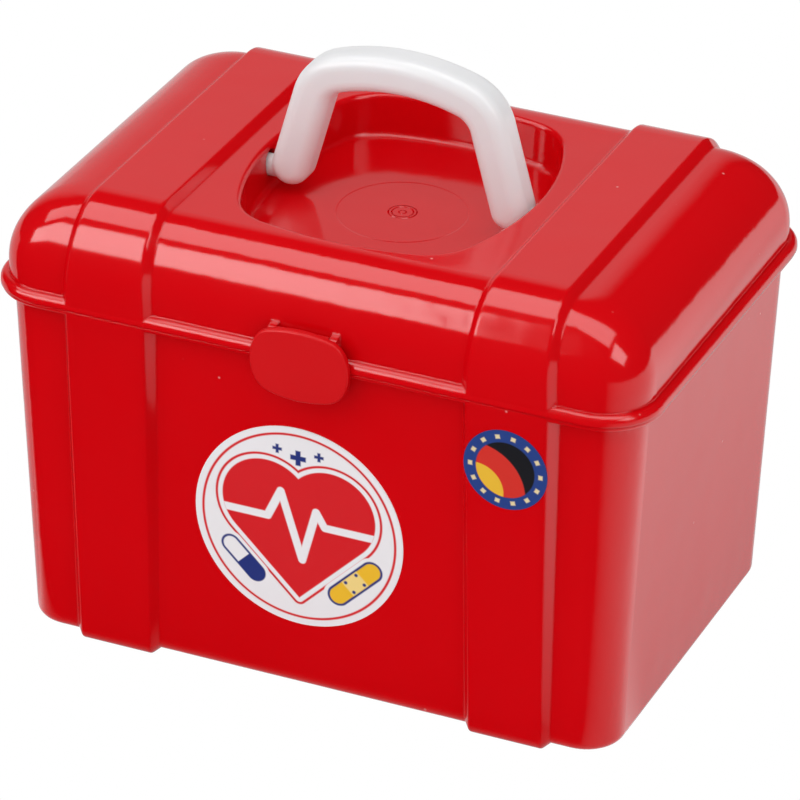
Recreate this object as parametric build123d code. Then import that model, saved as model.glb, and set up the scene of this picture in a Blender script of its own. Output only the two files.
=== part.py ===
from build123d import *

import math
import os

# A child's toy doctor case, moulded in red plastic: a tapered tub, a domed lid hinged
# along the back, a white carrying handle that folds into a recess in the lid, an oval
# push latch in front and two round stickers. Width runs along X, the front faces -Y,
# and the case stands on Z = 0 with its middle over the origin.

# Whole case
case_width = 250.0  # across the lip, side to side
case_depth = 170.0  # across the lip, front to back
lip_corner = 22.0  # corner radius of the lip, seen from above
parting_height = 137.2  # where lid and tub meet
joint_gap = 0.3  # daylight between the lid's edge and the tub's rim
wall = 2.2  # moulded wall thickness
bury = 0.6  # how far a rib or lug reaches into the wall that carries it

# Tub
tub_clear_height = 2.0  # underside of the floor panel above the table
rim_overhang = 4.9  # rim's outer face beyond the wall under it
rim_step = 0.5  # how much the tub's rim is drawn in under the lid's lip
rim_height = 6.0
rim_round = 2.4
side_draft = 2.44  # degrees, the end walls lean in towards the floor
front_draft = 1.44  # degrees, front and back walls
tub_corner_top = 17.5
tub_corner_bottom = 14.5
floor_round = 3.0
tongue_height = 3.0  # upstand inside the rim that centres the lid
tongue_thickness = 1.2
tongue_clearance = 0.4

# Lid
lip_height = 5.8
lip_round = 2.8
lip_overhang = 3.1  # lip's outer face beyond the lid's wall
lid_corner = 19.0
lid_rise = 35.3  # lid's top panel above the parting plane
end_round = 26.5  # width and height of the rounding over the two ends
front_round = 21.0  # width of the rounding over the front and back
crown_corner = 8.0  # corner radius where the rounding runs out on the top panel
dome_steps = 6

# The two strap bands that run round tub and lid
strap_near = 61.0  # near edge of the flat crest from the case's middle, at the parting plane
strap_crest = 30.0  # width of the flat crest there
strap_slope = 3.3  # width of each sloping flank
strap_top_height = 3.0  # crest above the lid's top panel
strap_front_draft = 2.2  # degrees, the crest leans in towards the foot
strap_lid_taper = 3.0  # degrees, each side, narrowing towards the lid's top
strap_tub_taper = 0.6  # degrees, each side, narrowing towards the foot
strap_edge_round = 1.2
strap_foot_round = 4.0
strap_flush = 0.2  # crest set back from the lip's outer face

# Recess in the lid for the handle
recess_width = 103.6
recess_length = 117.0
recess_side_radius = 110.0
recess_end_radius = 130.0
recess_corner = 22.0
recess_depth = 16.0
recess_draft = 3.0  # degrees
recess_rim_round = 1.6
recess_floor_round = 2.0
pocket_wall = 2.0

# Carrying handle
handle_thickness = 14.3  # in the plane of the arch
handle_width = 15.0  # front to back
handle_edge_round = 5.0
handle_peak = 211.0  # centreline height at the middle of the arch
arch_radius = 79.0
bend_radius = 15.0
leg_splay = 15.6  # degrees from upright
leg_reach = 42.2  # centre of each rounded leg end from the case's middle
leg_end_height = 167.35
pivot_rise = 8.0  # handle's pivot above the recess floor
pivot_stub_radius = 4.0
slot_clearance = 0.2
slot_play = 1.5  # extra height of the slot above the stub
stub_overrun = 3.0  # stub's length past the recess wall

# Latch
latch_width = 37.5
latch_height = 27.1
latch_side_radius = 17.0
latch_end_radius = 45.0
latch_corner = 8.5
latch_thickness = 3.0
latch_stand_off = 0.9  # air between the lip and the latch plate
latch_dome_radius = 240.0
latch_edge_round = 1.1
latch_pivot_rise = 10.0  # latch's pivot above the parting plane
latch_barrel_radius = 1.7
latch_pin_radius = 1.0
latch_pin_clearance = 0.1
latch_lug_thickness = 3.0
latch_lug_spacing = 23.0  # between the middles of the two lugs
latch_side_play = 0.3
latch_hook_drop = 9.0  # hook's ridge below the parting plane
latch_hook_clearance = 0.35
latch_hook_radius = 1.6

# Hinge
hinge_station = 38.0  # middle of each hinge from the case's middle
hinge_barrel_radius = 3.3
hinge_drop = 1.2  # hinge axis below the parting plane
hinge_pin_radius = 1.5
hinge_pin_clearance = 0.1
hinge_ear_thickness = 4.0
hinge_lug_width = 14.0
hinge_gap = 0.3
hinge_gusset = 15.0  # how far the ears and lugs run along the wall

# Stickers
sticker_thickness = 0.3
front_sticker_diameter = 80.0
front_sticker_x = -3.9
front_sticker_height = 68.0
strap_sticker_diameter = 31.0
strap_sticker_height = 113.0

# Places that follow from the sizes above
half_width = case_width / 2
half_depth = case_depth / 2
tub_top = parting_height - joint_gap / 2
lid_bottom = parting_height + joint_gap / 2
lid_top = parting_height + lid_rise
lid_half_x = half_width - lip_overhang
lid_half_y = half_depth - lip_overhang
recess_floor = lid_top - recess_depth
handle_pivot = recess_floor + pivot_rise
strap_far = strap_near + strap_crest
strap_face = half_depth - strap_flush
latch_face = half_depth + latch_stand_off + latch_thickness
latch_back = half_depth + latch_stand_off
latch_pivot_y = -(latch_back - latch_barrel_radius - latch_side_play)
latch_pivot_z = parting_height + latch_pivot_rise
hinge_y = latch_face - hinge_barrel_radius
hinge_z = parting_height - hinge_drop
beyond = 20.0  # length by which cutting tools run clear of what they cut


def side_lean(height):
    """How far the tub's end walls have come in at a height."""
    return (parting_height - height) * math.tan(math.radians(side_draft))


def front_lean(height):
    """How far the tub's front and back walls have come in at a height."""
    return (parting_height - height) * math.tan(math.radians(front_draft))


def strap_lean(height):
    """How far the strap's crest has come in at a height on the tub."""
    return (parting_height - height) * math.tan(math.radians(strap_front_draft))


def plan_section(half_x, half_y, corner, height):
    """A rounded rectangle lying at a height."""
    return Pos(0, 0, height) * RectangleRounded(2 * half_x, 2 * half_y, corner)


def barrel_outline(width, length, side_radius, end_radius, corner):
    """A bulging four-sided outline: two side arcs and two end arcs with rounded corners."""
    side_shift = side_radius - width / 2
    end_shift = end_radius - length / 2
    outline = Pos(side_shift, 0) * Circle(side_radius) & Pos(-side_shift, 0) * Circle(side_radius)
    outline = outline & Pos(0, end_shift) * Circle(end_radius)
    outline = outline & Pos(0, -end_shift) * Circle(end_radius)
    return fillet(outline.vertices(), corner)


def both_sides(solid):
    """The solid together with its mirror image across the middle of the case."""
    return solid + mirror(solid, about=Plane.YZ)


# Tub

def tub_body(inset):
    """The tapered box of the tub, or the space inside it when drawn in by the wall."""
    bottom = tub_clear_height + inset
    low = plan_section(
        half_width - rim_overhang - side_lean(bottom) - inset,
        half_depth - rim_overhang - front_lean(bottom) - inset,
        tub_corner_bottom - inset,
        bottom,
    )
    high = plan_section(
        half_width - rim_overhang - inset,
        half_depth - rim_overhang - inset,
        tub_corner_top - inset,
        parting_height,
    )
    body = loft([low, high], ruled=True)
    rounded = body.edges().group_by(Axis.Z)[0]
    return fillet(rounded, floor_round - inset / 2)


def tub_outline(top_y, lean, floor, corner):
    """Closed side view from the parting plane down one wall, along the floor and up again."""
    slope = lean / parting_height
    low_y = top_y - slope * (parting_height - floor)
    points = [(-top_y, parting_height), (-low_y, floor), (low_y, floor), (top_y, parting_height)]
    face = make_face(Polyline(*points, close=True))
    feet = face.vertices().group_by(Axis.Y)[0]
    return fillet(feet, corner)


def station(face, x, tilt):
    """A side view stood up at X, tilted about the parting line to follow the strap's taper."""
    upright = Plane.YZ * face
    return Pos(x, 0, parting_height) * Rot(0, tilt, 0) * Pos(0, 0, -parting_height) * upright


def band(root, crest, inset, taper):
    """One strap: a flat crest between two sloping flanks that run down into the wall."""
    near = strap_near + inset
    far = strap_far - inset
    sections = [
        station(root, near - strap_slope, taper),
        station(crest, near, taper),
        station(crest, far, -taper),
        station(root, far + strap_slope, -taper),
    ]
    return loft(sections, ruled=True)


def soften_crest(strap, taper):
    """The strap with the two long edges of its crest rounded, but not its end faces."""
    for x, tilt in [(strap_near, taper), (strap_far, -taper)]:
        lean = math.radians(tilt)
        cut = Plane(origin=(x, 0, parting_height), z_dir=(math.cos(lean), 0, -math.sin(lean)))
        edge_run = [
            edge
            for edge in strap.edges()
            if abs(cut.to_local_coords(edge.center()).Z) < 0.02
            and abs(edge.center().Z - parting_height) > joint_gap
        ]
        strap = fillet(edge_run, strap_edge_round)
    return strap


def tub_band(inset):
    """A strap on the tub, or the channel behind it when drawn in by the wall."""
    crest_y = strap_face - inset
    crest = tub_outline(crest_y, strap_lean(0), inset, strap_foot_round - inset / 2)
    root_y = half_depth - rim_overhang - inset - bury
    root = tub_outline(root_y, front_lean(0), tub_clear_height + inset + bury, floor_round - inset / 2)
    return band(root, crest, inset * math.tan(math.radians(22.5)), -strap_tub_taper)


def rim_ring():
    """The bead round the tub's mouth, rounded underneath."""
    outer = plan_section(
        half_width - rim_step, half_depth - rim_step, lip_corner - rim_step, tub_top - rim_height
    )
    ring = extrude(outer, rim_height)
    return fillet(ring.edges().group_by(Axis.Z)[0], rim_round)


def tongue():
    """The thin upstand inside the rim, left out where the straps' channels rise."""
    clear = wall + tongue_clearance
    outer = plan_section(lid_half_x - clear, lid_half_y - clear, lid_corner - clear, tub_top - wall)
    inner_inset = clear + tongue_thickness
    inner = plan_section(
        lid_half_x - inner_inset, lid_half_y - inner_inset, lid_corner - inner_inset, tub_top - wall
    )
    ring = extrude(outer - inner, tongue_height + wall)
    width = strap_crest + 2 * strap_slope + 2 * wall
    gap = Pos(strap_near + strap_crest / 2, 0, tub_top) * Box(width, 2 * case_depth, 4 * tongue_height)
    return ring - both_sides(gap)


def hinge_ear():
    """One of the tub's hinge eyes with its gusset down the back wall."""
    root_y = half_depth - rim_overhang - bury
    low = hinge_z - hinge_gusset
    eye = Pos(hinge_y, hinge_z) * Circle(hinge_barrel_radius)
    root = Line((root_y - front_lean(low), low), (root_y, tub_top - rim_round))
    outline = make_hull(eye.edges() + root.edges())
    return extrude(Plane.YZ * outline, hinge_ear_thickness / 2, both=True)


def ear_places():
    """Distances of the ear's middles from the case's middle, on one side."""
    reach = hinge_lug_width / 2 + hinge_gap + hinge_ear_thickness / 2
    return [hinge_station - reach, hinge_station + reach]


def hinge_rod(radius, width, x):
    """A cylinder along the hinge axis."""
    return Pos(x, hinge_y, hinge_z) * Rot(0, 90, 0) * Cylinder(radius, width)


def make_tub():
    strap = soften_crest(tub_band(0), -strap_tub_taper)
    body = tub_body(0) + rim_ring() + both_sides(strap)
    for x in ear_places():
        body = body + both_sides(Pos(x, 0, 0) * hinge_ear())
    hollow = tub_body(wall) + both_sides(tub_band(wall))
    mouth = Pos(0, 0, tub_top + beyond / 2) * Box(2 * case_width, 2 * case_depth, beyond)
    top_slice = mouth - hinge_keep_out()
    body = body - hollow - top_slice
    for x in ear_places():
        eye = hinge_rod(hinge_pin_radius + hinge_pin_clearance, 2 * hinge_ear_thickness, x)
        body = body - both_sides(eye)
    notch = hinge_rod(
        hinge_barrel_radius + hinge_gap, hinge_lug_width + 2 * hinge_gap, hinge_station
    )
    body = body - both_sides(notch)
    return body + tongue()


def hinge_keep_out():
    """The space of the tub's hinge eyes, which rise above the rim."""
    eyes = [
        hinge_rod(hinge_barrel_radius, hinge_ear_thickness, x) for x in ear_places()
    ]
    return both_sides(eyes[0] + eyes[1])


# Lid

def dome(inset):
    """The lid's outside, or the space under it when drawn in by the wall."""
    start = lid_top - end_round
    sections = [
        plan_section(lid_half_x - inset, lid_half_y - inset, lid_corner - inset, lid_bottom)
    ]
    for step in range(dome_steps + 1):
        turn = math.radians(90) * step / dome_steps
        drawn = 1 - math.cos(turn)
        corner = crown_corner + (lid_corner - crown_corner) * math.cos(turn)
        sections.append(
            plan_section(
                lid_half_x - inset - (end_round - inset) * drawn,
                lid_half_y - inset - (front_round - inset) * drawn,
                corner - inset,
                start + (end_round - inset) * math.sin(turn),
            )
        )
    return loft(sections)


def lid_outline(inset_face, inset_top):
    """Side view over the lid, from the parting plane up, over the top and down again."""
    shoulder = lid_top - end_round
    centre_y = lid_half_y - front_round
    radius_y = half_depth - strap_flush - centre_y - inset_face
    radius_z = end_round + strap_top_height - inset_top
    side = centre_y + radius_y
    top = shoulder + radius_z
    front = EllipticalCenterArc((-centre_y, shoulder), radius_y, radius_z, 90, arc_size=90)
    back = EllipticalCenterArc((centre_y, shoulder), radius_y, radius_z, 0, arc_size=90)
    edges = [
        Line((-side, lid_bottom), (-side, shoulder)),
        front,
        Line((-centre_y, top), (centre_y, top)),
        back,
        Line((side, shoulder), (side, lid_bottom)),
        Line((side, lid_bottom), (-side, lid_bottom)),
    ]
    return make_face(edges)


def lid_band(inset):
    """A strap over the lid, or the channel behind it when drawn in by the wall."""
    crest = lid_outline(inset, inset)
    root_face = strap_face - lid_half_y + inset + bury
    root = lid_outline(root_face, strap_top_height + inset + bury)
    return band(root, crest, inset * math.tan(math.radians(22.5)), strap_lid_taper)


def lip_ring():
    """The bead round the lid's edge, rounded on top."""
    ring = extrude(plan_section(half_width, half_depth, lip_corner, lid_bottom), lip_height)
    return fillet(ring.edges().group_by(Axis.Z)[-1], lip_round)


def recess_shape(outset, floor, roof):
    """The recess as a solid, narrowing downwards, or its pocket when grown by a wall."""
    def at(height):
        narrow = 2 * (lid_top - height) * math.tan(math.radians(recess_draft)) - 2 * outset
        outline = barrel_outline(
            recess_width - narrow,
            recess_length - narrow,
            recess_side_radius,
            recess_end_radius,
            recess_corner,
        )
        return Pos(0, 0, height) * outline

    shape = loft([at(floor), at(roof)], ruled=True)
    return fillet(shape.edges().group_by(Axis.Z)[0], recess_floor_round + outset)


def stub_slot():
    """The upright slot in the recess wall that the handle's stub snaps into."""
    radius = pivot_stub_radius + slot_clearance
    low = Pos(0, handle_pivot) * Circle(radius)
    high = Pos(0, handle_pivot + slot_play) * Circle(radius)
    outline = make_hull(low.edges() + high.edges())
    tool = extrude(Plane.YZ * outline, recess_width / 4)
    return Pos(recess_width / 2 - recess_width / 8, 0, 0) * tool


def latch_rod(radius, width, x):
    """A cylinder along the latch's pivot."""
    return Pos(x, latch_pivot_y, latch_pivot_z) * Rot(0, 90, 0) * Cylinder(radius, width)




def latch_lug():
    """A lug on the lid's front wall that holds one end of the latch's pivot."""
    eye = Pos(latch_pivot_y, latch_pivot_z) * Circle(latch_barrel_radius)
    root_y = bury - lid_half_y
    reach = latch_barrel_radius + 1.5 * bury
    root = Line((root_y, latch_pivot_z - reach), (root_y, latch_pivot_z + reach))
    outline = make_hull(eye.edges() + root.edges())
    solid = extrude(Plane.YZ * outline, latch_lug_thickness / 2, both=True)
    return Pos(latch_lug_spacing / 2, 0, 0) * solid


def hinge_lug():
    """A lug behind the lid's lip with the two stubs that turn in the tub's eyes."""
    eye = Pos(hinge_y, hinge_z) * Circle(hinge_barrel_radius)
    root_y = lid_half_y - bury
    root = Line((lid_half_y + bury, lid_bottom + bury), (root_y, lid_bottom + 0.6 * hinge_gusset))
    outline = make_hull(eye.edges() + root.edges())
    solid = Pos(hinge_station, 0, 0) * extrude(Plane.YZ * outline, hinge_lug_width / 2, both=True)
    stub_length = hinge_lug_width + 2 * (hinge_gap + hinge_ear_thickness)
    return solid + hinge_rod(hinge_pin_radius, stub_length, hinge_station)


def make_lid():
    strap = soften_crest(lid_band(0), strap_lid_taper)
    body = dome(0) + lip_ring() + both_sides(strap)
    hollow = dome(wall) + both_sides(lid_band(wall))
    pocket = recess_shape(pocket_wall, recess_floor - pocket_wall, lid_top - wall / 2)
    body = body - (hollow - pocket)
    body = body - recess_shape(0, recess_floor, lid_top + recess_rim_round)
    rim = [
        edge
        for edge in body.edges()
        if abs(edge.center().Z - lid_top) < 0.01 and abs(edge.center().X) < recess_width / 2 + bury
        and abs(edge.center().Y) < recess_length / 2 + bury
    ]
    body = fillet(rim, recess_rim_round)
    body = body - both_sides(stub_slot())
    for x in ear_places():
        room = hinge_rod(hinge_barrel_radius + hinge_gap, hinge_ear_thickness + 2 * hinge_gap, x)
        body = body - both_sides(room)
    body = body + both_sides(hinge_lug()) + both_sides(latch_lug())
    eye = latch_rod(latch_pin_radius + latch_pin_clearance, 4 * latch_lug_thickness,
                    latch_lug_spacing / 2)
    return body - both_sides(eye)


# Handle

def handle_path():
    """The arch's centreline, from one rounded leg end to the other."""
    splay = math.radians(leg_splay)
    along = Vector(-math.sin(splay), math.cos(splay))
    inward = Vector(-math.cos(splay), -math.sin(splay))
    end = Vector(leg_reach, leg_end_height)
    # The bend's centre lies a bend radius inside the leg's line and touches the arch inside.
    arch_centre = Vector(0, handle_peak - arch_radius)
    base = end + inward * bend_radius - arch_centre
    gap = arch_radius - bend_radius
    middle = base.dot(along)
    travel = -middle + math.sqrt(middle ** 2 - base.dot(base) + gap ** 2)
    bend_centre = end + inward * bend_radius + along * travel
    leg_top = end + along * travel
    outward = (bend_centre - arch_centre).normalized()
    arch_end = arch_centre + outward * arch_radius
    bend_middle = bend_centre + ((leg_top - bend_centre).normalized() + outward).normalized() * bend_radius

    def flip(point):
        return Vector(-point.X, point.Y)

    peak = Vector(0, handle_peak)
    return [
        Line(end, leg_top),
        ThreePointArc(leg_top, bend_middle, arch_end),
        ThreePointArc(arch_end, peak, flip(arch_end)),
        ThreePointArc(flip(arch_end), flip(bend_middle), flip(leg_top)),
        Line(flip(leg_top), flip(end)),
    ]


def make_handle():
    path = Plane.XZ * Wire(handle_path())
    start = path @ 0
    direction = path % 0
    across = Plane(origin=start, x_dir=(0, 1, 0), z_dir=direction)
    section = across * RectangleRounded(handle_width, handle_thickness, handle_edge_round)
    arch = sweep(section, path=path)
    half = section & across * Pos(0, handle_thickness / 2) * Rectangle(2 * handle_width, handle_thickness)
    end_axis = Axis(start, (0, 1, 0))
    end_round_solid = revolve(half, end_axis, 180)
    if end_round_solid.bounding_box().min.Z > leg_end_height - handle_thickness / 4:
        end_round_solid = revolve(half, end_axis, -180)
    arch = arch + both_sides(end_round_solid)
    # Below the pivot the legs are rounded about it, so that they swing clear of the floor.
    turning = Pos(0, 0, handle_pivot) * Rot(0, 90, 0) * Cylinder(handle_width / 2, case_width)
    above = Pos(0, 0, handle_pivot + case_width / 2) * Box(case_width, case_width, case_width)
    arch = arch & (turning + above)
    wall_x = recess_width / 2 + pocket_wall
    stub_end = wall_x + stub_overrun
    stub = Pos((leg_reach + stub_end) / 2, 0, handle_pivot) * Rot(0, 90, 0) * Cylinder(
        pivot_stub_radius, stub_end - leg_reach
    )
    return arch + both_sides(stub)


# Latch

def latch_outline():
    """The oval of the latch: a slot with round ends, flattened by two broad arcs."""
    outline = SlotOverall(latch_width, 2 * latch_side_radius)
    end_shift = latch_end_radius - latch_height / 2
    outline = outline & Pos(0, end_shift) * Circle(latch_end_radius)
    outline = outline & Pos(0, -end_shift) * Circle(latch_end_radius)
    return fillet(outline.vertices(), latch_corner)


def make_latch():
    outline = latch_outline()
    back = -latch_back
    facing = Plane(origin=(0, back, parting_height), x_dir=(1, 0, 0), z_dir=(0, -1, 0))
    plate = extrude(facing * outline, latch_thickness)
    plate = plate & Pos(0, latch_dome_radius - latch_face, parting_height) * Sphere(latch_dome_radius)
    rim = plate.edges().filter_by(lambda edge: edge.bounding_box().max.Y < back - latch_thickness / 2)
    plate = fillet(rim, latch_edge_round)
    barrel_length = latch_lug_spacing - latch_lug_thickness - 2 * latch_side_play
    barrel = latch_rod(latch_barrel_radius, barrel_length, 0)
    pin = latch_rod(latch_pin_radius, latch_lug_spacing + latch_lug_thickness, 0)
    web_depth = abs(back - latch_pivot_y) + bury
    web = Pos(0, latch_pivot_y - web_depth / 2, latch_pivot_z) * Box(
        barrel_length, web_depth, 2 * latch_barrel_radius
    )
    tip = -(half_depth - rim_step + latch_hook_clearance)
    ridge = Pos(0, tip - latch_hook_radius, parting_height - latch_hook_drop) * Rot(0, 90, 0) * Cylinder(
        latch_hook_radius, barrel_length
    )
    ridge = ridge & Pos(0, back, parting_height) * Box(case_width, latch_thickness, case_width)
    return plate + barrel + pin + web + ridge


# Stickers

def sticker(x, wall_y, lean, height, diameter):
    """A round sticker lying flat on a wall that leans in towards the floor."""
    tilt = math.atan(lean / parting_height)
    face_y = wall_y - (parting_height - height) * lean / parting_height
    facing = Plane(
        origin=(x, -face_y, height), x_dir=(1, 0, 0), z_dir=(0, -math.cos(tilt), -math.sin(tilt))
    )
    return extrude(facing * Circle(diameter / 2), sticker_thickness)


def make_front_sticker():
    return sticker(
        front_sticker_x,
        half_depth - rim_overhang,
        front_lean(0),
        front_sticker_height,
        front_sticker_diameter,
    )


def make_strap_sticker():
    return sticker(
        strap_near + strap_crest / 2,
        strap_face,
        strap_lean(0),
        strap_sticker_height,
        strap_sticker_diameter,
    )


pieces = {
    "tub": make_tub(),
    "lid": make_lid(),
    "handle": make_handle(),
    "latch": make_latch(),
    "front_sticker": make_front_sticker(),
    "strap_sticker": make_strap_sticker(),
}

os.makedirs("parts", exist_ok=True)
for name, shape in pieces.items():
    export_step(shape, f"parts/{name}.step")
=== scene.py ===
import math

import bpy
import numpy
from mathutils import Matrix, Vector


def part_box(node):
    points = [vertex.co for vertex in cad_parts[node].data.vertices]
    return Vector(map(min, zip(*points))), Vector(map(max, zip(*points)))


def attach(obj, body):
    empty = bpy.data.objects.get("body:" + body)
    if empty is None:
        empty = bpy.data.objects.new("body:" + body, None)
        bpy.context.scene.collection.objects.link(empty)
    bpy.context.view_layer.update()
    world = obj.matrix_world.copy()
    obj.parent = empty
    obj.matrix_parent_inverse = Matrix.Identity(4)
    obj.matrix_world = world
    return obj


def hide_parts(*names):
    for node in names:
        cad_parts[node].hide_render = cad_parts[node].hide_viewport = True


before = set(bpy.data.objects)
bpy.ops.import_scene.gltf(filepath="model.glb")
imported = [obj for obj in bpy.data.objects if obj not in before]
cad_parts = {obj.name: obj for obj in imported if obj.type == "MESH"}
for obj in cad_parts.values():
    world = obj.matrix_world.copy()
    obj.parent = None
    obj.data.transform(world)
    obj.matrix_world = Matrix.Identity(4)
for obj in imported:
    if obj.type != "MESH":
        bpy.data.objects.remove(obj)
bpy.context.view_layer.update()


# The tub and the lid are each one injection moulding in a polished red plastic about 2 mm
# thick, and the lid turns on its stubs in the tub's ears. The tool's gloss waves a little, and
# handling has left fine scuffs and some dust on it.


class Value:
    """A shader socket that can be written in sums: each operator adds its Math node."""

    def __init__(self, socket):
        self.socket = socket

    def output(self, name):
        """Another output of the same node."""
        return Value(self.socket.node.outputs[name])

    def math(self, operation, *others, swapped=False):
        terms = [self, *others]
        if swapped:
            terms.reverse()
        tree = self.socket.id_data
        node = tree.nodes.new("ShaderNodeMath")
        node.operation = operation
        for slot, term in zip(node.inputs, terms):
            if isinstance(term, Value):
                tree.links.new(term.socket, slot)
            else:
                slot.default_value = term
        return Value(node.outputs[0])

    def __add__(self, other):
        return self.math("ADD", other)

    def __radd__(self, other):
        return self.math("ADD", other, swapped=True)

    def __sub__(self, other):
        return self.math("SUBTRACT", other)

    def __rsub__(self, other):
        return self.math("SUBTRACT", other, swapped=True)

    def __mul__(self, other):
        return self.math("MULTIPLY", other)

    def __rmul__(self, other):
        return self.math("MULTIPLY", other, swapped=True)

    def __truediv__(self, other):
        return self.math("DIVIDE", other)

    def __rtruediv__(self, other):
        return self.math("DIVIDE", other, swapped=True)

    def __abs__(self):
        return self.math("ABSOLUTE")

    def least(self, other):
        return self.math("MINIMUM", other)

    def most(self, other):
        return self.math("MAXIMUM", other)

    def length(self, other):
        """Length of the flat vector (self, other)."""
        return (self * self + other * other).math("SQRT")

    def below(self, limit, soft):
        """1 where the value is under the limit, 0 above it, with a soft edge."""
        return ((limit - self) / soft + 0.5).least(1.0).most(0.0)

    def above(self, limit, soft):
        return 1.0 - self.below(limit, soft)


class Finish:
    """The procedural shader of a material or a world. One method adds any of its nodes."""

    def __init__(self, owner):
        owner.use_nodes = True
        self.owner = owner
        self.tree = owner.node_tree
        self.tree.nodes.clear()
        self.place = self.node("ShaderNodeTexCoord", {}, {}, "Object")

    def node(self, kind, settings, inputs, output=0):
        node = self.tree.nodes.new(kind)
        for name, value in settings.items():
            setattr(node, name, value)
        for name, value in inputs.items():
            if isinstance(value, Value):
                self.tree.links.new(value.socket, node.inputs[name])
            else:
                node.inputs[name].default_value = value
        return Value(node.outputs[output]) if len(node.outputs) else None

    def axes(self, vector):
        """The X, Y and Z of a linked vector."""
        x = self.node("ShaderNodeSeparateXYZ", {}, {0: vector})
        return x, x.output("Y"), x.output("Z")

    def noise(self, per_metre, detail=2.0, roughness=0.5):
        inputs = {"Scale": per_metre, "Detail": detail, "Roughness": roughness}
        return self.node("ShaderNodeTexNoise", {}, {"Vector": self.place, **inputs})

    def blend(self, amount, low, high):
        """The colour low, or high where the amount is 1. Either may be a linked colour."""
        return self.node("ShaderNodeMix", {"data_type": "RGBA"}, {0: amount, 6: low, 7: high}, 2)

    def relief(self, height, inputs):
        """The normal of a surface raised by a height in metres."""
        return self.node("ShaderNodeBump", {}, {"Height": height, "Distance": 1.0, **inputs})

    def coat(self, inputs):
        """Ends a material in its plastic or paper shader."""
        surface = self.node("ShaderNodeBsdfPrincipled", {}, inputs)
        self.node("ShaderNodeOutputMaterial", {}, {"Surface": surface})
        return self.owner


SHELL_RED = (0.64, 0.0004, 0.0030, 1.0)
SHELL_RED_THIN = (0.69, 0.0012, 0.0045, 1.0)
SHELL_ROUGH = 0.075
DUST_PINK = (0.85, 0.42, 0.40, 1.0)
DUST_COVER = 0.6
DUST_ROUGH = 0.2
GLOSS_WAVE = 0.00022
TOOL_GRAIN = 0.000003
EDGE_ROUND = 0.0012

# The floor of the handle's recess lies between two heights. It has a shallow round sink, and
# at its middle the ring and the nub where the plastic was fed in.
RECESS_FLOOR = (0.1555, 0.1590)
FLOOR_EDGE = 0.0002
SINK_RADIUS = 0.0235
SINK_DEPTH = 0.00010
FEED_RING_RADIUS = 0.0045
FEED_RING_HALF_WIDTH = 0.0006
FEED_RING_HEIGHT = 0.0006
FEED_NUB_RADIUS = 0.0013
FEED_NUB_HEIGHT = 0.0004
MARK_EDGE = 0.0006


def recess_floor_marks(finish):
    """Height of the marks in the recess floor, 0 elsewhere on the shells."""
    x, y, z = finish.axes(finish.place)
    radius = x.length(y)
    sink = radius.below(SINK_RADIUS, MARK_EDGE) * -SINK_DEPTH
    ring = abs(radius - FEED_RING_RADIUS).below(FEED_RING_HALF_WIDTH, MARK_EDGE)
    nub = radius.below(FEED_NUB_RADIUS, MARK_EDGE)
    marks = sink + ring * FEED_RING_HEIGHT + nub * FEED_NUB_HEIGHT
    lowest, highest = RECESS_FLOOR
    return marks * (z.above(lowest, FLOOR_EDGE) * z.below(highest, FLOOR_EDGE))


def dust_specks(finish):
    """1 on the specks of dust, which lie in patches, and 0 between them."""
    cells = finish.node("ShaderNodeTexVoronoi", {}, {"Vector": finish.place, "Scale": 95.0})
    speck_radius = 0.050
    patch_level = 0.62
    patch = finish.noise(30.0, detail=1.0).above(patch_level, 0.06)
    return cells.below(speck_radius, 0.03) * patch


def polished_red():
    finish = Finish(bpy.data.materials.new("polished_red_plastic"))
    colour = finish.blend(finish.noise(14.0, detail=3.0), SHELL_RED, SHELL_RED_THIN)
    dust = dust_specks(finish)
    colour = finish.blend(dust * DUST_COVER, colour, DUST_PINK)
    scuffs = finish.noise(60.0, detail=4.0, roughness=0.6) * 0.05
    rough = scuffs + SHELL_ROUGH + dust * DUST_ROUGH
    wave = finish.noise(45.0, detail=1.0) * GLOSS_WAVE
    grain = finish.noise(900.0) * TOOL_GRAIN
    height = wave + grain + recess_floor_marks(finish)
    soft_edge = finish.node("ShaderNodeBevel", {"samples": 6}, {"Radius": EDGE_ROUND})
    normal = finish.relief(height, {"Normal": soft_edge})
    return finish.coat({"Base Color": colour, "Roughness": rough, "IOR": 1.5, "Normal": normal})


shell_red = polished_red()

# The tub's rim and the lid's lip are beads round the parting line. These are the heights of
# each bead's foot, middle and crest, as in the solids and as low as the real ones.
TUB_RIM = [0.13105, 0.13345, 0.13705]
TUB_RIM_LOW = [0.13465, 0.13625, 0.13705]
LID_LIP = [0.13735, 0.14035, 0.14315]
LID_LIP_LOW = [0.13712, 0.13795, 0.14095]
BEAD_SLACK = 0.0001
HINGE_FRONT = 0.060
HINGE_HALF_WIDTH = 0.062


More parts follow.
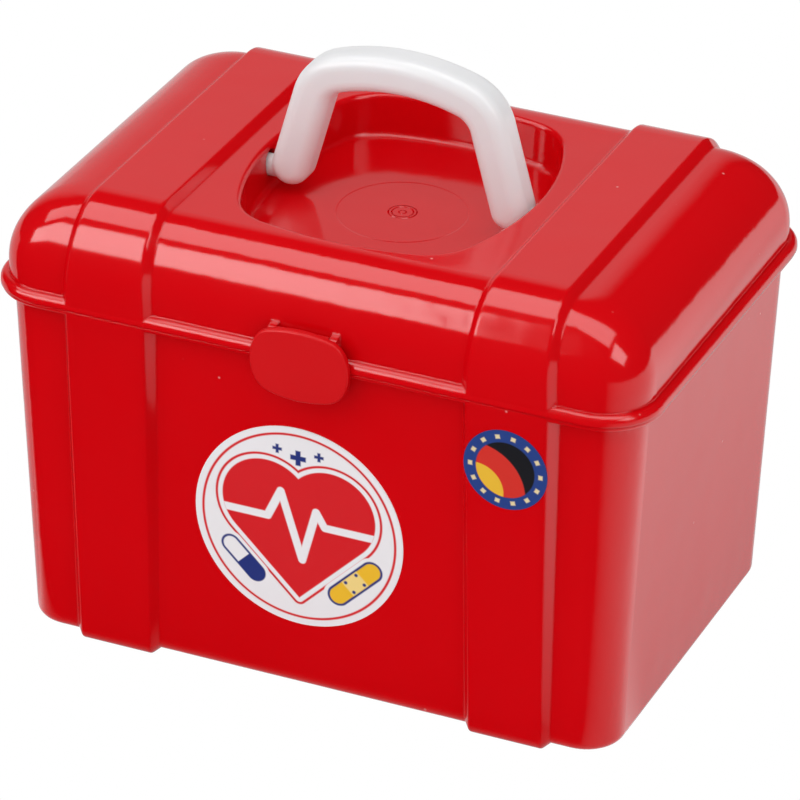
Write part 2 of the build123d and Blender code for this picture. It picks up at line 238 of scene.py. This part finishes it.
def with_low_bead(node, levels, low_levels):
    """Stands a copy of a shell in for it, with a lower bead: what lies within the first levels
    comes to the second. Between the straps at the back, where the hinge is, it stays."""
    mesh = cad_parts[node].data.copy()
    places = numpy.empty((len(mesh.vertices), 3), dtype=numpy.float32)
    mesh.vertices.foreach_get("co", places.reshape(-1))
    corners = numpy.empty(len(mesh.loops), dtype=numpy.int32)
    mesh.loops.foreach_get("vertex_index", corners)
    normals = numpy.empty((len(mesh.loops), 3), dtype=numpy.float32)
    mesh.corner_normals.foreach_get("vector", normals.reshape(-1))
    x, y, z = places.T
    at_hinge = (y > HINGE_FRONT) & (abs(x) < HINGE_HALF_WIDTH)
    in_bead = (z > levels[0] - BEAD_SLACK) & (z < levels[-1] + BEAD_SLACK) & ~at_hinge
    # The gloss follows the new slope. It is measured a little inside each triangle, so that a
    # corner that lies on a level takes the slope of its own side.
    corner_heights = z[corners].reshape(-1, 3)
    inset = 0.02
    middles = corner_heights.mean(axis=1, keepdims=True)
    heights = (corner_heights * (1 - inset) + middles * inset).reshape(-1)
    step = 0.00001
    over = numpy.interp(heights + step, levels, low_levels)
    under = numpy.interp(heights - step, levels, low_levels)
    stretch = (over - under) / (2 * step)
    least_stretch = 0.05
    stretch = numpy.where(in_bead[corners] & (stretch > least_stretch), stretch, 1.0)
    normals[:, 2] /= stretch
    normals /= numpy.linalg.norm(normals, axis=1, keepdims=True)
    places[:, 2] = numpy.where(in_bead, numpy.interp(z, levels, low_levels), z)
    mesh.vertices.foreach_set("co", places.reshape(-1))
    mesh.update()
    mesh.normals_split_custom_set(normals.tolist())
    piece = bpy.data.objects.new(node + "_shell", mesh)
    bpy.context.scene.collection.objects.link(piece)
    piece.material_slots[0].material = shell_red
    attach(piece, node)
    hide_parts(node)


with_low_bead("tub", TUB_RIM, TUB_RIM_LOW)
with_low_bead("lid", LID_LIP, LID_LIP_LOW)


# The carrying handle is one white moulding, thick enough to be a little milky, with a soft
# gloss. It snaps into the walls of the lid's recess by the stubs on its legs.

HANDLE_WHITE = (0.79, 0.79, 0.80, 1.0)
HANDLE_WHITE_THIN = (0.82, 0.82, 0.83, 1.0)
MILKY_DEPTH = (0.007, 0.007, 0.0075)
HANDLE_GRAIN = 0.000004


def milky_white():
    finish = Finish(bpy.data.materials.new("milky_white_plastic"))
    inputs = {
        "Base Color": finish.blend(finish.noise(40.0), HANDLE_WHITE, HANDLE_WHITE_THIN),
        "Roughness": finish.noise(120.0, detail=3.0) * 0.08 + 0.26,
        "IOR": 1.45,
        "Subsurface Weight": 0.45,
        "Subsurface Radius": MILKY_DEPTH,
        "Subsurface Scale": 1.0,
        "Normal": finish.relief(finish.noise(700.0) * HANDLE_GRAIN, {}),
    }
    return finish.coat(inputs)


def dress(node, material):
    """Gives a piece of the frame its finish."""
    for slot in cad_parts[node].material_slots:
        slot.material = material


dress("handle", milky_white())


# The latch is a small red moulding, and its pins clip into the lid's two lugs. Its plate came
# from a tool with a fine matt texture, so it is more satin than the case.

LATCH_RED = (0.64, 0.0006, 0.0034, 1.0)
LATCH_RED_THIN = (0.67, 0.0012, 0.0045, 1.0)
MATT_TEXTURE = 0.000008


def satin_red():
    finish = Finish(bpy.data.materials.new("satin_red_plastic"))
    colour = finish.blend(finish.noise(30.0), LATCH_RED, LATCH_RED_THIN)
    rough = finish.noise(200.0, detail=3.0) * 0.06 + 0.30
    normal = finish.relief(finish.noise(2400.0) * MATT_TEXTURE, {})
    return finish.coat({"Base Color": colour, "Roughness": rough, "IOR": 1.27, "Normal": normal})


dress("latch", satin_red())


# The large round sticker is printed paper under a satin film, stuck on the front panel. Its
# print is a heart with a pulse line, with a sticking plaster and a capsule beside it.

PAPER = (0.88, 0.865, 0.89, 1.0)
PAPER_SHADE = (0.865, 0.85, 0.875, 1.0)
PRINT_RED = (0.72, 0.006, 0.012, 1.0)
PRINT_BLUE = (0.018, 0.035, 0.22, 1.0)
PLASTER_YELLOW = (0.90, 0.52, 0.02, 1.0)
PAD_YELLOW = (0.93, 0.70, 0.25, 1.0)


class Print(Finish):
    """A print on a round sticker. Places on it run from -1 to 1 across and up."""

    def __init__(self, sticker, edge):
        super().__init__(bpy.data.materials.new(sticker + "_print"))
        low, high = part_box(sticker)
        x, _, z = self.axes(self.place)
        self.across = (x - (low[0] + high[0]) / 2) / ((high[0] - low[0]) / 2)
        self.up = (z - (low[2] + high[2]) / 2) / ((high[2] - low[2]) / 2)
        self.out = self.across.length(self.up)
        self.edge = edge

    def around(self, middle):
        """Places across and up, counted from a middle of their own."""
        return self.across - middle[0], self.up - middle[1]

    def segment(self, start, end):
        """Distance from a straight stroke between two places."""
        run = (end[0] - start[0], end[1] - start[1])
        size = run[0] ** 2 + run[1] ** 2
        across, up = self.around(start)
        along = ((across * run[0] + up * run[1]) / size).least(1.0).most(0.0)
        return (across - along * run[0]).length(up - along * run[1])

    def plus(self, middle, reach):
        """Distance from the edge of a plus sign, negative inside it."""
        across, up = self.around(middle)
        beside, above = abs(across), abs(up)
        bar = reach / 3
        level_bar = (beside - reach).most(above - bar)
        upright_bar = (beside - bar).most(above - reach)
        return level_bar.least(upright_bar)

    def heart(self, scale, foot):
        """Distance from the edge of a heart whose tip is at foot, negative inside it."""
        side = abs(self.across) / scale
        rise = (self.up - foot) / scale
        lobe_side, lobe_rise, lobe_radius = 0.25, 0.75, math.sqrt(2) / 4
        lobe = (side - lobe_side).length(rise - lobe_rise) - lobe_radius
        # Below its lobes it ends in the flank, where rise is side, and in the notch on top.
        share = (side + rise).most(0.0) * 0.5
        notch = side.length(rise - 1.0)
        flank = (side - share).length(rise - share)
        lower = notch.least(flank) * (side - rise).math("SIGN")
        upper = (side + rise).above(1.0, 0.0005)
        return (lobe * upper + lower * (1.0 - upper)) * scale

    def paint(self, under, distance, colour):
        """Colour over what is under it, where the distance is negative."""
        return self.blend(distance.below(0.0, self.edge), under, colour)

    def paper_coat(self, colour):
        rough = self.noise(300.0) * 0.08 + 0.30
        return self.coat({"Base Color": colour, "Roughness": rough, "IOR": 1.4})


WHITE_MARGIN = 0.035
BLUE_LINE = 0.022


def blue_badge(art, under, shape):
    """Paints a shape blue, with a white margin round it."""
    colour = art.paint(under, shape - WHITE_MARGIN, PAPER)
    return art.paint(colour, shape, PRINT_BLUE)


def plaster(art, under):
    """Paints the sticking plaster along the heart's right flank, with its pad and holes."""
    x, y = middle = (0.54, -0.45)
    reach = 0.16
    half_width = 0.105
    shape = art.segment((x - reach, y - reach), (x + reach, y + reach)) - half_width
    colour = blue_badge(art, under, shape)
    inside = shape + BLUE_LINE
    colour = art.paint(colour, inside, PLASTER_YELLOW)
    across, up = art.around(middle)
    pad_half_length = 0.10
    pad = abs(across + up) * math.sqrt(0.5) - pad_half_length
    colour = art.paint(colour, pad.most(inside), PAD_YELLOW)
    hole_radius = 0.017
    for along in (-0.05, 0.05):
        for beside in (-0.04, 0.04):
            hole = (across - (along + beside)).length(up - (along - beside)) - hole_radius
            colour = art.paint(colour, hole, PRINT_BLUE)
    return colour


def capsule(art, under):
    """Paints the capsule along the heart's left flank, half of it blue and half white."""
    x, y = middle = (-0.54, -0.45)
    reach = 0.12
    half_width = 0.095
    shape = art.segment((x - reach, y + reach), (x + reach, y - reach)) - half_width
    colour = blue_badge(art, under, shape)
    across, up = art.around(middle)
    white_half = across - up
    return art.paint(colour, (shape + BLUE_LINE).most(white_half), PAPER)


def front_print():
    art = Print("front_sticker", edge=0.012)
    colour = art.blend(art.noise(100.0), PAPER, PAPER_SHADE)
    thin_line = 0.012
    ring_radius = 0.925
    colour = art.paint(colour, abs(art.out - ring_radius) - thin_line, PRINT_RED)
    heart = art.heart(scale=1.22, foot=-0.73)
    outline_gap = 0.055
    colour = art.paint(colour, abs(heart - outline_gap) - thin_line, PRINT_RED)
    colour = art.paint(colour, heart, PRINT_RED)
    pulse = [(-0.8, 0.05), (-0.30, 0.05), (-0.17, 0.33), (0.03, -0.33)]
    pulse += [(0.17, 0.19), (0.25, 0.05), (0.8, 0.05)]
    pulse_line = 0.038
    beat = art.segment(pulse[0], pulse[1])
    for start, end in zip(pulse[1:], pulse[2:]):
        beat = beat.least(art.segment(start, end))
    colour = art.paint(colour, (beat - pulse_line).most(heart), PAPER)
    colour = plaster(art, colour)
    colour = capsule(art, colour)
    for middle, reach in ((0.0, 0.70), 0.075), ((-0.20, 0.755), 0.045), ((0.20, 0.755), 0.045):
        colour = art.paint(colour, art.plus(middle, reach), PRINT_BLUE)
    return art.paper_coat(colour)


dress("front_sticker", front_print())


# The small round sticker on the right strap is the same printed paper. Its print is a blue
# ring with pale dashes, and arcs of yellow, red and near-black in its middle.

RING_BLUE = (0.016, 0.050, 0.25, 1.0)
RING_BLUE_SHADE = (0.019, 0.057, 0.27, 1.0)
DASH_PALE = (0.80, 0.66, 0.38, 1.0)
ARC_BLACK = (0.014, 0.014, 0.018, 1.0)
ARC_RED = (0.70, 0.025, 0.015, 1.0)
ARC_YELLOW = (0.86, 0.50, 0.03, 1.0)
DASHES = 14


def strap_print():
    art = Print("strap_sticker", edge=0.03)
    colour = art.blend(art.noise(200.0), RING_BLUE, RING_BLUE_SHADE)
    dash_radius = 0.84
    dash_half_length = 0.05
    dash_half_width = 0.055
    turn = art.up.math("ARCTAN2", art.across) * (DASHES / (2 * math.pi))
    beside = abs(turn - turn.math("ROUND")) * art.out * (2 * math.pi / DASHES)
    dash = (beside - dash_half_width).most(abs(art.out - dash_radius) - dash_half_length)
    colour = art.paint(colour, dash, DASH_PALE)
    middle_radius = 0.70
    middle = art.out - middle_radius
    colour = art.paint(colour, middle, ARC_BLACK)
    # The arcs turn about a place at the lower left, beyond the middle.
    across, up = art.around((-0.70, -0.62))
    from_turn = across.length(up)
    for arc_radius, arc_colour in (1.18, ARC_RED), (0.66, ARC_YELLOW):
        colour = art.paint(colour, (from_turn - arc_radius).most(middle), arc_colour)
    return art.paper_coat(colour)


dress("strap_sticker", strap_print())


# Studio: a pale table in a bright tent. Long soft lamps hang before and above the case, one
# small lamp at its right, and a white sweep behind it. A key lamp gives the matt light a side.

LAMP_DISTANCE = 1.3
CASE_TOP = 0.16


def hang(name, elevation, swing, width, height, radiance):
    """Hangs a soft lamp: elevation goes up from the front, swing is its place along X."""
    lamp = bpy.data.lights.new(name, "AREA")
    lamp.shape = "RECTANGLE"
    lamp.size = width
    lamp.size_y = height
    lamp.energy = radiance * math.pi * width * height
    lamp_object = bpy.data.objects.new(name, lamp)
    bpy.context.scene.collection.objects.link(lamp_object)
    # Its long side stays level along X, and it is tipped to face the lid.
    facing = Vector((0, math.cos(elevation), -math.sin(elevation)))
    across = Vector((1, 0, 0))
    upward = across.cross(facing)
    lamp_object.location = Vector((swing, 0, CASE_TOP)) - facing * LAMP_DISTANCE
    lamp_object.rotation_euler = Matrix((across, upward, -facing)).transposed().to_euler()
    lamp_object.visible_camera = False
    return lamp_object


def soft_box(name, rise, sideways, radiance):
    """A lamp seen only in the gloss, between two elevations and two sideways angles."""
    lowest, highest = (math.radians(angle) for angle in rise)
    left, right = (math.tan(math.radians(angle)) * LAMP_DISTANCE for angle in sideways)
    height = 2 * LAMP_DISTANCE * math.tan((highest - lowest) / 2)
    box = hang(name, (lowest + highest) / 2, (left + right) / 2, right - left, height, radiance)
    box.visible_diffuse = False


soft_box("front_box", rise=(20.0, 51.0), sideways=(-60.0, -17.0), radiance=6.3)
soft_box("top_box", rise=(63.0, 97.0), sideways=(-52.0, 33.0), radiance=3.5)
soft_box("right_box", rise=(47.0, 80.0), sideways=(38.0, 60.0), radiance=4.8)
key = hang("key_lamp", math.radians(52.0), swing=-0.15, width=1.2, height=1.0, radiance=1.2)
key.visible_glossy = False

TABLE_REACH = 30.0
table_corners = [
    (side * TABLE_REACH, end * TABLE_REACH, 0)
    for side, end in ((-1, -1), (1, -1), (1, 1), (-1, 1))
]
table_mesh = bpy.data.meshes.new("table")
table_mesh.from_pydata(table_corners, [], [(0, 1, 2, 3)])
table = bpy.data.objects.new("table", table_mesh)
bpy.context.scene.collection.objects.link(table)

TABLE_PALE = (0.82, 0.82, 0.82, 1.0)
CASE_END = 0.125
FRONT_CORNER = (0.100, -0.075)
NEAR_GLOSS = 0.68
FAR_GLOSS = 0.30
FAR_REACH = 0.09


def table_paint():
    finish = Finish(bpy.data.materials.new("pale_table"))
    camera = finish.node("ShaderNodeLightPath", {}, {}, "Is Camera Ray")
    glossy = camera.output("Is Glossy Ray")
    seen = camera.most(camera.output("Is Transmission Ray"))
    x, y, _ = finish.axes(finish.place)
    # In the gloss the table's glow is a painted reflection, dark before the case and brightest
    # off its right front corner.
    # Turn is the slope of the way there from that corner, and grows from front to back.
    turn = (y - FRONT_CORNER[1]) / (x - FRONT_CORNER[0]).most(0.005)
    front_turn, back_turn = -0.3, 1.6
    corner_level = turn.above(front_turn, 3.6) * (2.0 - turn.above(back_turn, 1.4))
    # Close beside the case the glow is lower, a painted shadow of the case in the table's
    # reflection.
    clear_of_painted_shadow = ((x - CASE_END) / FAR_REACH).least(1.0).most(0.0)
    painted_reflection_level = corner_level * (clear_of_painted_shadow * FAR_GLOSS + NEAR_GLOSS)
    lit = finish.node("ShaderNodeBsdfDiffuse", {}, {"Color": TABLE_PALE})
    glow = finish.node("ShaderNodeEmission", {}, {"Strength": seen + glossy * painted_reflection_level})
    surface = finish.node("ShaderNodeMixShader", {}, {0: seen.most(glossy), 1: lit, 2: glow})
    finish.node("ShaderNodeOutputMaterial", {}, {"Surface": surface})
    return finish.owner


table_mesh.materials.append(table_paint())

MATT_LEVEL = 0.85
DARK_ROOM_LEVEL = 0.015
SWEEP_LEVEL = 0.52


def room_light():
    """White for the camera, an even tent for matt light, and for gloss a dark room with a
    white sweep low down behind on the left."""
    finish = Finish(bpy.data.worlds.new("studio"))
    x, y, z = finish.axes(finish.place.output("Generated"))
    behind = y.above(0.55, 0.20)
    low_down = z.below(0.66, 0.14)
    on_the_left = x.below(-0.17, 0.20)
    sweep = behind * low_down * on_the_left
    camera = finish.node("ShaderNodeLightPath", {}, {}, "Is Camera Ray")
    glossy = camera.output("Is Glossy Ray")
    level = (sweep * SWEEP_LEVEL + DARK_ROOM_LEVEL) * glossy + (1.0 - glossy) * MATT_LEVEL
    inputs = {"Color": (1, 1, 1, 1), "Strength": camera + level * (1.0 - camera)}
    background = finish.node("ShaderNodeBackground", {}, inputs)
    finish.node("ShaderNodeOutputWorld", {}, {"Surface": background})
    return finish.owner


bpy.context.scene.world = room_light()


# Camera: above the case's right front corner, far away with a long lens. The angles, distance
# and focal length come from the fit of the case's edges to the photograph.

AZIMUTH = math.radians(23.52)
ELEVATION = math.radians(28.86)
ROLL = math.radians(0.76)
CAMERA_DISTANCE = 1.9778
TARGET = Vector((-0.00005, 0, 0.08048))
FOCAL_PIXELS = 5484.0
PICTURE_PIXELS = 800.0

camera_data = bpy.data.cameras.new("camera")
camera_data.sensor_width = 36.0
camera_data.lens = FOCAL_PIXELS * camera_data.sensor_width / PICTURE_PIXELS
camera_data.clip_end = 200.0
camera = bpy.data.objects.new("camera", camera_data)
bpy.context.scene.collection.objects.link(camera)
level_back = Vector((math.sin(AZIMUTH), -math.cos(AZIMUTH), 0))
back = level_back * math.cos(ELEVATION) + Vector((0, 0, math.sin(ELEVATION)))
level_right = Vector((math.cos(AZIMUTH), math.sin(AZIMUTH), 0))
level_up = back.cross(level_right)
right = level_right * math.cos(ROLL) + level_up * math.sin(ROLL)
up = level_up * math.cos(ROLL) - level_right * math.sin(ROLL)
turn = Matrix((right, up, back)).transposed().to_4x4()
camera.matrix_world = Matrix.Translation(TARGET + back * CAMERA_DISTANCE) @ turn
bpy.context.scene.camera = camera
bpy.context.scene.view_settings.view_transform = "Standard"
